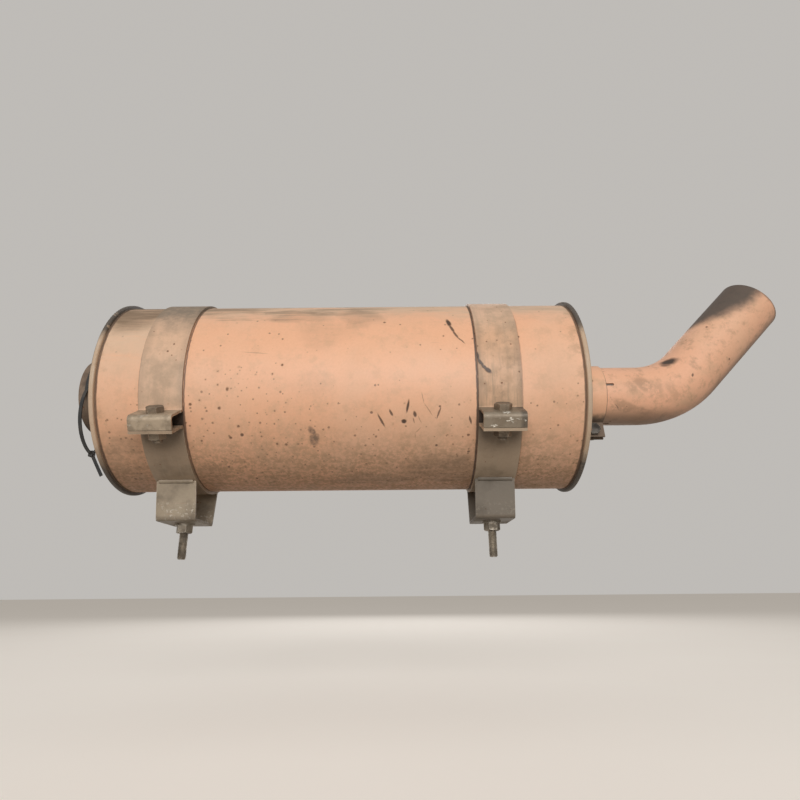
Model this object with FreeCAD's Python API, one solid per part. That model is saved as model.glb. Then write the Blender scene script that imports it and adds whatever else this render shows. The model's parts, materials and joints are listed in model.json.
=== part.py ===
import FreeCAD
import Part
import math
import os

from FreeCAD import Vector

# Exhaust silencer with a 45 degree tail pipe, held by two strap mounts.
# Millimetres. X runs along the can towards the tail pipe, Z points up and the studs point down.
# The origin lies on the plane of the two foot soles, midway between the studs.
# Angles about an X axis start at the front (-Y) and grow towards the top (+Z).

# Can
axis_height = 148.0
can_dia = 220.0
can_wall = 1.5
can_x_inlet = -247.5
can_length = 515.5
lock_seam_angle = 160.0
lock_seam_width = 12.0
lock_seam_groove_width = 1.6
lock_seam_groove_depth = 0.6

# Rolled rims and end caps
rim_height = 4.0
rim_width = 5.0
rim_round = 1.6
rim_inner_round = 0.6
rim_fit = 0.1
cap_wall = 1.5
cap_recess = 9.0
cap_corner = 5.0
cap_bead_radius = 80.0
cap_bead_height = 3.0
cap_bead_width = 12.0
collar_length = 6.0

# Pipes through the end caps
inlet_pipe_dia = 89.0
inlet_pipe_wall = 2.0
inlet_pipe_rise = 4.0
inlet_pipe_reach = 48.5
inlet_pipe_past_baffle = 25.0
outlet_pipe_wall = 2.0
outlet_pipe_past_baffle = 25.0
outlet_pipe_insert = 44.0
pipe_fit = 0.3
end_disc_thickness = 2.0

# Perforations of the inner pipes
perforation_dia = 10.0
perforation_pitch = 20.0
perforation_rows = 5
perforation_columns = 6

# Baffles and the short tubes through them
baffle_from_inlet = 170.0
baffle_from_outlet = 173.0
baffle_wall = 1.5
baffle_flange = 10.0
baffle_corner = 4.0
baffle_fit = 0.3
seam_notch_fit = 1.0
transfer_tube_dia = 36.0
transfer_tube_wall = 1.5
transfer_tube_length = 60.0
transfer_tube_radius = 74.0
transfer_tube_count = 3
inlet_tubes_first_angle = 90.0
outlet_tubes_first_angle = 30.0

# Tail pipe
tail_dia = 70.0
tail_wall = 2.0
tail_start_gap = 22.0
tail_straight_run = 116.5
tail_bend_radius = 100.0
tail_bend_angle = 45.0
tail_outer_run = 170.0
tail_clock_angle = 90.0
slot_count = 4
slot_length = 39.0
slot_width = 3.0
slot_clock_angle = 5.5

# Clamp on the tail pipe's slotted end
clamp_width = 25.0
clamp_thickness = 2.0
clamp_setback = 4.0
clamp_lug_angle = -80.0
clamp_lug_gap = 5.0
clamp_lug_reach = 20.0
clamp_bend_radius = 3.0
clamp_bolt_offset = 11.5

# Strap mounts
strap_spacing = 348.0
strap_width = 44.5
strap_fit = 0.2
upper_strap_thickness = 2.5
saddle_thickness = 3.0
split_half_angle = 62.0
ear_reach = 31.0
ear_space = 13.2
ear_width = 43.0
upper_bend_radius = 4.0
saddle_bend_radius = 6.0
lip_bend_radius = 3.0
lip_edge_gap = 0.5
ear_bolt_offset = 15.0

# Feet under the saddles
foot_thickness = 3.0
foot_width = 43.0
sole_width = 60.0
foot_top_half_angle = 21.5
foot_bend_radius = 4.0
foot_fit = 0.15
foot_weld_radius = 2.6
foot_weld_inset = 3.0

# Fasteners: M10 in the mounts and M8 in the tail clamp
m10_dia = 10.0
m10_pitch_dia = 9.0
m10_hex = 16.0
m10_head_height = 6.4
m10_nut_height = 8.4
m8_dia = 8.0
m8_pitch_dia = 7.2
m8_hex = 13.0
m8_head_height = 5.3
m8_nut_height = 6.8
thread_fit = 0.05
hole_fit = 0.5
seat_fit = 0.05
thread_end = 4.0
bolt_chamfer = 1.0
hex_face_share = 0.95
washer_dia = 21.0
washer_thickness = 2.0
stud_length = 39.0

# Cable tie left on the inlet pipe
tie_width = 3.6
tie_thickness = 1.4
tie_head = 7.0
tie_head_overhang = 1.0
tie_head_round = 1.0
tie_from_end = 8.0
tie_fit = 0.6
tie_head_distance = 74.0
tie_head_angle = -80.0
tie_bulge = 20.0
tie_tail_length = 32.0
tie_tail_turn = 33.0

# How far the tools that cut holes and gaps run past a face
overrun = 1.0

can_radius = can_dia / 2
can_inner_radius = can_radius - can_wall
can_x_outlet = can_x_inlet + can_length
cap_x_inlet = can_x_inlet + cap_recess
cap_x_outlet = can_x_outlet - cap_recess
baffle_x_inlet = can_x_inlet + baffle_from_inlet
baffle_x_outlet = can_x_outlet - baffle_from_outlet
inlet_pipe_x_start = can_x_inlet - inlet_pipe_reach
inlet_pipe_x_end = baffle_x_inlet + inlet_pipe_past_baffle
rim_radius = can_radius + rim_height
strap_inner_radius = can_radius + strap_fit
saddle_outer_radius = strap_inner_radius + saddle_thickness
tail_radius = tail_dia / 2
outlet_pipe_dia = tail_dia - 2 * tail_wall - 2 * pipe_fit
tail_start_x = cap_x_outlet + tail_start_gap
ear_angle = split_half_angle - 90.0
m10 = (m10_dia, m10_pitch_dia, m10_hex, m10_head_height, m10_nut_height)
m8 = (m8_dia, m8_pitch_dia, m8_hex, m8_head_height, m8_nut_height)
axis_point = Vector(0, 0, axis_height)
x_axis = Vector(1, 0, 0)


def around(radius, angle, x=0.0):
    """A point at a radius and angle about the can's axis."""
    turn = math.radians(angle)
    return Vector(x, -radius * math.cos(turn), axis_height + radius * math.sin(turn))


def direction(angle):
    """The outward direction at an angle about the can's axis."""
    turn = math.radians(angle)
    return Vector(0, -math.cos(turn), math.sin(turn))


def line(start, end):
    return Part.LineSegment(start, end).toShape()


def arc(start, middle, end):
    return Part.Arc(start, middle, end).toShape()


def tube(outer_dia, wall, x_start, x_end, rise=0.0):
    base = Vector(x_start, 0, axis_height + rise)
    outer = Part.makeCylinder(outer_dia / 2, x_end - x_start, base, x_axis)
    bore = Part.makeCylinder(outer_dia / 2 - wall, x_end - x_start, base, x_axis)
    return outer.cut(bore)


def revolved(section):
    """Turns a closed list of edges, drawn in the X-Z plane above the can's axis, about that axis."""
    face = Part.Face(Part.Wire(section))
    return face.revolve(axis_point, x_axis, 360)


def rounded_path(corners, radii):
    """Edges through corners, each inner corner rounded by its radius."""
    edges = []
    last = corners[0]
    for before, corner, after, radius in zip(corners, corners[1:], corners[2:], radii):
        towards_before = (before - corner).normalize()
        towards_after = (after - corner).normalize()
        half = towards_before.getAngle(towards_after) / 2
        trim = radius / math.tan(half)
        start = corner + towards_before * trim
        end = corner + towards_after * trim
        middle_way = (towards_before + towards_after).normalize()
        middle = corner + middle_way * (radius / math.sin(half) - radius)
        if (start - last).Length > 1e-6:
            edges.append(line(last, start))
        edges.append(arc(start, middle, end))
        last = end
    edges.append(line(last, corners[-1]))
    return edges


def sheet(edges, x_middle, width, thickness):
    """A strip of sheet metal: the path gives one face, and the thickness grows to its outer side."""
    wire = Part.Wire(edges)
    wire.translate(Vector(x_middle - width / 2, 0, 0))
    shell = wire.extrude(Vector(width, 0, 0))
    return shell.makeOffsetShape(thickness, 0.01, fill=True)


def hexagon_prism(across_flats, height, base, axis):
    corner_radius = across_flats / math.sqrt(3)
    turns = [math.radians(60 * i) for i in range(7)]
    points = [Vector(corner_radius * math.cos(turn), corner_radius * math.sin(turn), 0) for turn in turns]
    prism = Part.Face(Part.makePolygon(points)).extrude(Vector(0, 0, height))
    top_radius = across_flats * hex_face_share / 2
    prism = prism.common(Part.makeCone(top_radius + height * math.sqrt(3), top_radius, height))
    prism.Placement = FreeCAD.Placement(base, FreeCAD.Rotation(Vector(0, 0, 1), axis))
    return prism


def hex_bolt(size, seat, axis, stack, free_end):
    """A bolt whose head sits on seat, with a nut past a stack; axis points along the shank.

    The shank has its thread's pitch diameter as far as the nut's outer face, and the full diameter past it.
    """
    dia, pitch_dia, across_flats, head_height, nut_height = size
    head = hexagon_prism(across_flats, head_height, seat, axis * -1)
    covered = stack + nut_height + seat_fit
    shank = Part.makeCylinder(pitch_dia / 2, covered, seat, axis)
    thread = Part.makeCylinder(dia / 2, free_end, seat + axis * covered, axis)
    tip = seat + axis * (covered + free_end)
    end_edge = [e for e in thread.Edges if (e.CenterOfMass - tip).Length < 0.01]
    return head.fuse([shank, thread.makeChamfer(bolt_chamfer, end_edge)]).removeSplitter()


def hex_nut(size, seat, axis):
    """A nut that bears on seat; axis points away from what it clamps."""
    _, pitch_dia, across_flats, _, nut_height = size
    body = hexagon_prism(across_flats, nut_height, seat, axis)
    return body.cut(Part.makeCylinder(pitch_dia / 2 + thread_fit, nut_height, seat, axis))


def can_shell():
    shell = tube(can_dia, can_wall, can_x_inlet + cap_wall + rim_fit, can_x_outlet - cap_wall - rim_fit)
    strip_start = can_x_inlet + cap_recess + baffle_flange
    strip_length = can_length - 2 * (cap_recess + baffle_flange)
    strip = Part.makeBox(strip_length, lock_seam_width, 2 * can_wall)
    strip.translate(Vector(strip_start, -lock_seam_width / 2, can_inner_radius - can_wall))
    groove = Part.makeBox(can_length, lock_seam_groove_width, 2 * lock_seam_groove_depth)
    groove.translate(Vector(can_x_inlet, -lock_seam_groove_width / 2, can_radius - lock_seam_groove_depth))
    for piece in (strip, groove):
        piece.rotate(Vector(0, 0, 0), x_axis, 90 - lock_seam_angle)
        piece.translate(axis_point)
    return shell.fuse(strip).cut(groove).removeSplitter()


def end_cap(x_face, inward, pipe_dia, pipe_rise):
    """A pressed cap: a curled rim over the can's edge, a recessed disc with a bead, and a pipe collar."""

    def at(depth, radius):
        return Vector(x_face + inward * depth, 0, axis_height + radius)

    flange_outer = can_inner_radius - rim_fit
    flange_inner = flange_outer - cap_wall
    disc_back = cap_recess
    disc_front = cap_recess - cap_wall
    rim_outside = rounded_path(
        [
            at(rim_width, can_radius + rim_fit),
            at(rim_width, rim_radius),
            at(0, rim_radius),
            at(0, flange_inner),
            at(disc_front, flange_inner),
        ],
        [rim_round, rim_round, rim_inner_round],
    )
    rim = revolved(rim_outside + [
        line(at(disc_front, flange_inner), at(disc_front, flange_outer)),
        line(at(disc_front, flange_outer), at(cap_wall, flange_outer)),
        line(at(cap_wall, flange_outer), at(cap_wall, can_radius + rim_fit)),
        line(at(cap_wall, can_radius + rim_fit), at(rim_width, can_radius + rim_fit)),
    ])
    bead_out = cap_bead_radius + cap_bead_width / 2
    bead_in = cap_bead_radius - cap_bead_width / 2
    front = rounded_path(
        [
            at(disc_front, flange_inner),
            at(disc_front, bead_out),
            at(disc_front - cap_bead_height, cap_bead_radius),
            at(disc_front, bead_in),
            at(disc_front, 0),
        ],
        [cap_corner, cap_corner / 2, cap_corner],
    )
    back = rounded_path(
        [
            at(disc_back, 0),
            at(disc_back, bead_in),
            at(disc_back - cap_bead_height, cap_bead_radius),
            at(disc_back, bead_out),
            at(disc_back, flange_outer),
        ],
        [cap_corner, cap_corner / 2, cap_corner],
    )
    disc = revolved(front + [line(at(disc_front, 0), at(disc_back, 0))] + back + [
        line(at(disc_back, flange_outer), at(disc_front, flange_outer)),
        line(at(disc_front, flange_outer), at(disc_front, flange_inner)),
    ])
    hole_dia = pipe_dia + 2 * pipe_fit
    collar_dia = hole_dia + 2 * cap_wall
    x_low = min(x_face + inward * (disc_front - collar_length), x_face + inward * disc_back)
    x_high = max(x_face + inward * (disc_front - collar_length), x_face + inward * disc_back)
    centre = Vector(x_low, 0, axis_height + pipe_rise)
    collar = Part.makeCylinder(collar_dia / 2, x_high - x_low, centre, x_axis)
    hole = Part.makeCylinder(hole_dia / 2, x_high - x_low + 2 * overrun, centre - x_axis * overrun, x_axis)
    return rim.fuse([disc, collar]).cut(hole).removeSplitter()


def perforations(pipe_dia, x_middle, rise):
    """Rows of round holes through a pipe's wall, centred on x_middle."""
    drills = []
    for row in range(perforation_rows):
        x = x_middle + (row - (perforation_rows - 1) / 2) * perforation_pitch
        for column in range(perforation_columns):
            angle = (column + 0.5 * (row % 2)) * 360 / perforation_columns
            centre = Vector(x, 0, axis_height + rise)
            drills.append(Part.makeCylinder(perforation_dia / 2, pipe_dia, centre, direction(angle)))
    return Part.makeCompound(drills)


def inlet_pipe():
    pipe = tube(inlet_pipe_dia, inlet_pipe_wall, inlet_pipe_x_start, inlet_pipe_x_end, inlet_pipe_rise)
    middle = (cap_x_inlet + baffle_x_inlet) / 2
    return pipe.cut(perforations(inlet_pipe_dia, middle, inlet_pipe_rise))


def inlet_pipe_end_disc():
    base = Vector(inlet_pipe_x_end + seat_fit, 0, axis_height + inlet_pipe_rise)
    return Part.makeCylinder(inlet_pipe_dia / 2, end_disc_thickness, base, x_axis)


def outlet_pipe():
    start = baffle_x_outlet - outlet_pipe_past_baffle
    end = tail_start_x + outlet_pipe_insert
    pipe = tube(outlet_pipe_dia, outlet_pipe_wall, start, end)
    middle = (baffle_x_outlet + cap_x_outlet) / 2
    return pipe.cut(perforations(outlet_pipe_dia, middle, 0))


def transfer_tube_angles(first_angle):
    return [first_angle + i * 360 / transfer_tube_count for i in range(transfer_tube_count)]


def baffle(x_disc, flange_side, pipe_dia, pipe_rise, first_angle):
    """A flanged disc pressed into the can, with holes for the main pipe and the short tubes."""

    def at(depth, radius):
        return Vector(x_disc + flange_side * depth, 0, axis_height + radius)

    outer = can_inner_radius - baffle_fit
    profile = rounded_path([at(0, 0), at(0, outer), at(baffle_flange, outer)], [baffle_corner])
    inner = rounded_path(
        [at(baffle_flange, outer - baffle_wall), at(baffle_wall, outer - baffle_wall), at(baffle_wall, 0)],
        [baffle_corner - baffle_wall],
    )
    closing = [
        line(at(baffle_flange, outer), at(baffle_flange, outer - baffle_wall)),
        line(at(baffle_wall, 0), at(0, 0)),
    ]
    disc = revolved(profile + [closing[0]] + inner + [closing[1]])
    reach = baffle_wall + overrun
    main_centre = Vector(x_disc - reach, 0, axis_height + pipe_rise)
    holes = [Part.makeCylinder(pipe_dia / 2 + pipe_fit, 2 * reach, main_centre, x_axis)]
    for angle in transfer_tube_angles(first_angle):
        centre = around(transfer_tube_radius, angle, x_disc - reach)
        holes.append(Part.makeCylinder(transfer_tube_dia / 2 + pipe_fit, 2 * reach, centre, x_axis))
    notch_width = lock_seam_width + 2 * seam_notch_fit
    notch_depth = can_wall + seam_notch_fit
    notch = Part.makeBox(2 * (baffle_flange + overrun), notch_width, notch_depth + can_wall)
    notch_start = x_disc - baffle_flange - overrun
    notch.translate(Vector(notch_start, -notch_width / 2, can_inner_radius - notch_depth))
    notch.rotate(Vector(0, 0, 0), x_axis, 90 - lock_seam_angle)
    notch.translate(axis_point)
    return disc.cut(holes + [notch])


def transfer_tube(x_disc, angle):
    start = x_disc - transfer_tube_length / 2
    centre = around(transfer_tube_radius, angle, start)
    radius = transfer_tube_dia / 2
    outer = Part.makeCylinder(radius, transfer_tube_length, centre, x_axis)
    bore = Part.makeCylinder(radius - transfer_tube_wall, transfer_tube_length, centre, x_axis)
    return outer.cut(bore)


def tail_pipe():
    turn = math.radians(tail_bend_angle)
    rise = direction(tail_clock_angle)
    outward = x_axis * math.cos(turn) + rise * math.sin(turn)
    start = Vector(tail_start_x, 0, axis_height)
    corner = start + x_axis * tail_straight_run
    end = corner + outward * tail_outer_run
    path = Part.Wire(rounded_path([start, corner, end], [tail_bend_radius]))
    pieces = []
    for radius in (tail_radius, tail_radius - tail_wall):
        profile = Part.Wire(Part.makeCircle(radius, start, x_axis))
        pieces.append(path.makePipeShell([profile], True, False))
    pipe = pieces[0].cut(pieces[1])
    slots = []
    slot_straight = slot_length - slot_width / 2
    for i in range(slot_count):
        way = direction(slot_clock_angle + i * 360 / slot_count)
        box = Part.makeBox(slot_straight, slot_width, 2 * tail_radius)
        box.translate(Vector(0, -slot_width / 2, 0))
        slot = box.fuse(Part.makeCylinder(slot_width / 2, 2 * tail_radius, Vector(slot_straight, 0, 0)))
        turned = FreeCAD.Rotation(x_axis, way.cross(x_axis), way, "XZY")
        slot.Placement = FreeCAD.Placement(start, turned)
        slots.append(slot)
    return pipe.cut(slots)


def ear_corner_points(split_angle, sign, mirror):
    """Turns local places beside a split, as reach along the ear and height across it, into points."""
    radial = direction(split_angle)
    across = Vector(0, math.sin(math.radians(split_angle)), math.cos(math.radians(split_angle)))

    def at(reach, height):
        point = axis_point + radial * reach + across * (height * sign)
        return Vector(0, -point.y, point.z) if mirror else point

    return at


def flare(at, circle_radius, height, bend_radius):
    """Where a band leaves its circle and turns out to an ear: the arc's start, middle and end."""
    centre_height = height + bend_radius
    centre_reach = math.sqrt((circle_radius + bend_radius) ** 2 - centre_height ** 2)
    share = circle_radius / (circle_radius + bend_radius)
    lean = math.atan2(centre_height, centre_reach)
    middle_turn = (lean + math.pi / 2) / 2
    middle_reach = centre_reach - bend_radius * math.cos(middle_turn)
    middle_height = centre_height - bend_radius * math.sin(middle_turn)
    start = at(centre_reach * share, centre_height * share)
    return start, at(middle_reach, middle_height), at(centre_reach, height)


def clamp_frame():
    """Axis and centre of the tail clamp's bolt."""
    angle = clamp_lug_angle
    radial = direction(angle)
    across = Vector(0, math.sin(math.radians(angle)), math.cos(math.radians(angle)))
    x_middle = tail_start_x + clamp_setback + clamp_width / 2
    centre = axis_point + radial * (tail_radius + clamp_bolt_offset) + x_axis * x_middle
    return centre, across, x_middle


def tail_clamp_band():
    centre, across, x_middle = clamp_frame()
    inner_radius = tail_radius + strap_fit
    height = clamp_lug_gap / 2
    reach = inner_radius + clamp_lug_reach
    above = ear_corner_points(clamp_lug_angle, 1, False)
    below = ear_corner_points(clamp_lug_angle, -1, False)
    start_a, middle_a, end_a = flare(above, inner_radius, height, clamp_bend_radius)
    start_b, middle_b, end_b = flare(below, inner_radius, height, clamp_bend_radius)
    edges = [
        line(above(reach, height), end_a),
        arc(end_a, middle_a, start_a),
        arc(start_a, around(inner_radius, clamp_lug_angle + 180), start_b),
        arc(start_b, middle_b, end_b),
        line(end_b, below(reach, height)),
    ]
    band = sheet(edges, x_middle, clamp_width, clamp_thickness)
    depth = height + clamp_thickness + overrun
    hole = Part.makeCylinder(m8_dia / 2 + hole_fit, 2 * depth, centre - across * depth, across)
    return band.cut(hole)


def tail_clamp_bolt():
    centre, across, _ = clamp_frame()
    stack = clamp_lug_gap + 2 * clamp_thickness + 2 * seat_fit
    seat = centre + across * (stack / 2)
    return hex_bolt(m8, seat, across * -1, stack, thread_end)


def tail_clamp_nut():
    centre, across, _ = clamp_frame()
    seat = centre - across * (clamp_lug_gap / 2 + clamp_thickness + seat_fit)
    return hex_nut(m8, seat, across * -1)


def ear_hole(x_middle, mirror):
    """The drill for a buckle bolt, with its axis and its centre between the ears."""
    at = ear_corner_points(ear_angle, 1, mirror)
    reach = strap_inner_radius + ear_bolt_offset
    centre = at(reach, 0) + x_axis * x_middle
    across = (at(reach, 1) - at(reach, 0)).normalize()
    depth = ear_space / 2 + max(upper_strap_thickness, saddle_thickness) + overrun
    drill = Part.makeCylinder(m10_dia / 2 + hole_fit, 2 * depth, centre - across * depth, across)
    return drill, centre, across


def trimmed_ears(strap, x_middle, reach_start):
    """Narrows the ears outside the band."""
    keep_base = Vector(x_middle - strap_width / 2, 0, axis_height)
    keep = Part.makeCylinder(reach_start, strap_width, keep_base, x_axis)
    slab = Part.makeBox(ear_width, 4 * can_radius, 4 * can_radius)
    slab.translate(Vector(x_middle - ear_width / 2, -2 * can_radius, axis_height - 2 * can_radius))
    return strap.common(keep.fuse(slab))


def upper_strap(x_middle):
    """The band over the can, with an ear at each side whose edge is folded down over the saddle's ear."""
    half_space = ear_space / 2
    reach = strap_inner_radius + ear_reach - upper_strap_thickness
    lip_end = -half_space + lip_edge_gap
    starts = []
    ears = []
    for mirror in (False, True):
        at = ear_corner_points(ear_angle, 1, mirror)
        start, middle, end = flare(at, strap_inner_radius, half_space, upper_bend_radius)
        ear = rounded_path([at(reach, lip_end), at(reach, half_space), end], [lip_bend_radius])
        starts.append(start)
        ears.append(ear + [arc(end, middle, start)])
    over = arc(starts[0], around(strap_inner_radius, 90), starts[1])
    strap = sheet(ears[0] + [over] + ears[1][::-1], x_middle, strap_width, upper_strap_thickness)
    strap = trimmed_ears(strap, x_middle, strap_inner_radius + upper_strap_thickness + upper_bend_radius)
    for mirror in (False, True):
        strap = strap.cut(ear_hole(x_middle, mirror)[0])
    return strap


def saddle_strap(x_middle):
    """The band under the can, with its two ends turned out to flat ears."""
    half_space = ear_space / 2
    reach = strap_inner_radius + ear_reach
    starts = []
    ears = []
    for mirror in (False, True):
        at = ear_corner_points(ear_angle, -1, mirror)
        start, middle, end = flare(at, strap_inner_radius, half_space, saddle_bend_radius)
        starts.append(start)
        ears.append([line(at(reach, half_space), end), arc(end, middle, start)])
    under = arc(starts[0], around(strap_inner_radius, -90), starts[1])
    strap = sheet(ears[0] + [under] + ears[1][::-1], x_middle, strap_width, -saddle_thickness)
    strap = trimmed_ears(strap, x_middle, saddle_outer_radius + saddle_bend_radius)
    for mirror in (False, True):
        strap = strap.cut(ear_hole(x_middle, mirror)[0])
    return strap


def foot(x_middle):
    """A folded channel under the saddle: two leaning legs, a flat sole and a weld along each leg."""
    top = around(strap_inner_radius, -90 + foot_top_half_angle)
    half_sole = sole_width / 2
    outer = [
        Vector(0, top.y, top.z),
        Vector(0, -half_sole, 0),
        Vector(0, half_sole, 0),
        Vector(0, -top.y, top.z),
    ]
    face = Part.Face(Part.Wire(
        rounded_path(outer, [foot_bend_radius, foot_bend_radius]) + [line(outer[3], outer[0])]
    ))
    block = face.extrude(Vector(foot_width, 0, 0))
    block.translate(Vector(x_middle - foot_width / 2, 0, 0))
    lean = math.atan2(abs(top.y) - half_sole, top.z)
    shift = foot_thickness / math.cos(lean)
    rise = foot_thickness * math.tan(lean)
    inner_half = half_sole - shift + rise
    inner = [
        Vector(0, top.y + shift, top.z),
        Vector(0, -inner_half, foot_thickness),
        Vector(0, inner_half, foot_thickness),
        Vector(0, -top.y - shift, top.z),
    ]
    inner_bend = foot_bend_radius - foot_thickness
    hollow_face = Part.Face(Part.Wire(
        rounded_path(inner, [inner_bend, inner_bend]) + [line(inner[3], inner[0])]
    ))
    cut_length = foot_width + 2 * overrun
    cut_start = x_middle - cut_length / 2
    hollow = hollow_face.extrude(Vector(cut_length, 0, 0))
    hollow.translate(Vector(cut_start, 0, 0))
    seat_radius = saddle_outer_radius + foot_fit
    clear = Part.makeCylinder(seat_radius, cut_length, Vector(cut_start, 0, axis_height), x_axis)
    channel = block.cut([hollow, clear])
    leg_way = (outer[1] - outer[0]).normalize()
    from_axis = outer[0] - axis_point
    along = from_axis.dot(leg_way)
    down = math.sqrt(along ** 2 + seat_radius ** 2 - from_axis.dot(from_axis)) - along
    meets = outer[0] + leg_way * down
    welds = []
    for side in (-1, 1):
        centre = Vector(x_middle - foot_width / 2 + foot_weld_inset, side * meets.y, meets.z)
        welds.append(Part.makeCylinder(foot_weld_radius, foot_width - 2 * foot_weld_inset, centre, x_axis))
    channel = channel.fuse([weld.cut([clear, hollow]) for weld in welds])
    hole_base = Vector(x_middle, 0, -overrun)
    hole = Part.makeCylinder(m10_dia / 2 + hole_fit, foot_thickness + 2 * overrun, hole_base)
    return channel.cut(hole).removeSplitter()


def stud_bolt(x_middle):
    seat = Vector(x_middle, 0, foot_thickness + seat_fit)
    below_sole = washer_thickness + 2 * seat_fit
    free_end = stud_length - below_sole - m10_nut_height - seat_fit
    return hex_bolt(m10, seat, Vector(0, 0, -1), seat.z + below_sole, free_end)


def stud_washer(x_middle):
    base = Vector(x_middle, 0, -seat_fit - washer_thickness)
    ring = Part.makeCylinder(washer_dia / 2, washer_thickness, base)
    return ring.cut(Part.makeCylinder(m10_dia / 2 + hole_fit, washer_thickness, base))


def stud_nut(x_middle):
    return hex_nut(m10, Vector(x_middle, 0, -washer_thickness - 2 * seat_fit), Vector(0, 0, -1))


def buckle_bolt(x_middle, mirror):
    _, centre, across = ear_hole(x_middle, mirror)
    seat = centre + across * (ear_space / 2 + upper_strap_thickness + seat_fit)
    stack = ear_space + upper_strap_thickness + saddle_thickness + 2 * seat_fit
    return hex_bolt(m10, seat, across * -1, stack, thread_end)


def buckle_nut(x_middle, mirror):
    _, centre, across = ear_hole(x_middle, mirror)
    seat = centre - across * (ear_space / 2 + saddle_thickness + seat_fit)
    return hex_nut(m10, seat, across * -1)


def cable_tie():
    """A closed loop round the inlet pipe, drawn out to a small head, with a loose tail."""
    loop_radius = inlet_pipe_dia / 2 + tie_fit
    centre = Vector(inlet_pipe_x_start + tie_from_end, 0, axis_height + inlet_pipe_rise)
    head_way = direction(tie_head_angle)
    head_point = centre + head_way * tie_head_distance
    tangent_turn = math.degrees(math.acos(loop_radius / tie_head_distance))
    far_touch = centre + direction(tie_head_angle - tangent_turn) * loop_radius
    near_touch = centre + direction(tie_head_angle + tangent_turn + tie_bulge) * loop_radius
    top = centre + direction(tie_head_angle + 180) * loop_radius
    bulge_way = direction(tie_head_angle + tangent_turn / 2 + tie_bulge / 2)
    bulge_point = centre + bulge_way * (loop_radius + tie_bulge)
    loop = [
        line(head_point, far_touch),
        arc(far_touch, top, near_touch),
        arc(near_touch, bulge_point, head_point),
    ]
    inner_wire = Part.Wire(loop)
    outer_wire = inner_wire.makeOffset2D(tie_thickness)
    inner = Part.Face(inner_wire).extrude(Vector(tie_width, 0, 0))
    band = Part.Face(outer_wire).extrude(Vector(tie_width, 0, 0)).cut(inner)
    head = Part.makeBox(tie_width + 2 * tie_head_overhang, tie_head, tie_head)
    head.translate(head_point - Vector(tie_head_overhang, tie_head / 2, tie_head / 2))
    head = head.makeFillet(tie_head_round, head.Edges)
    turn = math.radians(tie_tail_turn)
    tail_way = head_way * math.cos(turn) + x_axis * math.sin(turn)
    flat_way = x_axis.cross(head_way)
    edge_way = tail_way.cross(flat_way)
    tail = Part.makeBox(tie_thickness, tie_width, tie_tail_length)
    head_middle = head_point + x_axis * (tie_width / 2)
    tail_start = head_middle - flat_way * (tie_thickness / 2) - edge_way * (tie_width / 2)
    tail.Placement = FreeCAD.Placement(tail_start, FreeCAD.Rotation(flat_way, edge_way, tail_way, "XZY"))
    return band.fuse([head, tail]).removeSplitter()


def export(name, shape):
    if shape.ShapeType == "Compound" and len(shape.Solids) == 1:
        shape = shape.Solids[0]
    print(name, shape.ShapeType, len(shape.Solids), shape.isValid(), round(shape.Volume / 1000, 2), "cm3")
    shape.exportStep(f"parts/{name}.step")


def main():
    os.makedirs("parts", exist_ok=True)
    export("can_shell", can_shell())
    export("inlet_end_cap", end_cap(can_x_inlet, 1, inlet_pipe_dia, inlet_pipe_rise))
    export("outlet_end_cap", end_cap(can_x_outlet, -1, outlet_pipe_dia, 0))
    export("inlet_pipe", inlet_pipe())
    export("inlet_pipe_end_disc", inlet_pipe_end_disc())
    export("outlet_pipe", outlet_pipe())
    baffles = (
        ("inlet", baffle_x_inlet, 1, inlet_pipe_dia, inlet_pipe_rise, inlet_tubes_first_angle),
        ("outlet", baffle_x_outlet, -1, outlet_pipe_dia, 0, outlet_tubes_first_angle),
    )
    for end, x_disc, side, pipe_dia, rise, first_angle in baffles:
        export(f"{end}_baffle", baffle(x_disc, side, pipe_dia, rise, first_angle))
        for i, angle in enumerate(transfer_tube_angles(first_angle)):
            export(f"{end}_baffle_tube_{i + 1}", transfer_tube(x_disc, angle))
    export("tail_pipe", tail_pipe())
    export("tail_clamp_band", tail_clamp_band())
    export("tail_clamp_bolt", tail_clamp_bolt())
    export("tail_clamp_nut", tail_clamp_nut())
    for end, x_middle in (("inlet", -strap_spacing / 2), ("outlet", strap_spacing / 2)):
        export(f"{end}_upper_strap", upper_strap(x_middle))
        export(f"{end}_saddle_strap", saddle_strap(x_middle))
        export(f"{end}_foot", foot(x_middle))
        export(f"{end}_stud_bolt", stud_bolt(x_middle))
        export(f"{end}_stud_washer", stud_washer(x_middle))
        export(f"{end}_stud_nut", stud_nut(x_middle))
        for side, mirror in (("front", False), ("back", True)):
            export(f"{end}_{side}_buckle_bolt", buckle_bolt(x_middle, mirror))
            export(f"{end}_{side}_buckle_nut", buckle_nut(x_middle, mirror))
    export("cable_tie", cable_tie())


main()
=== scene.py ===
import bpy
import json
import math
from mathutils import Matrix, Vector


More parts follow.
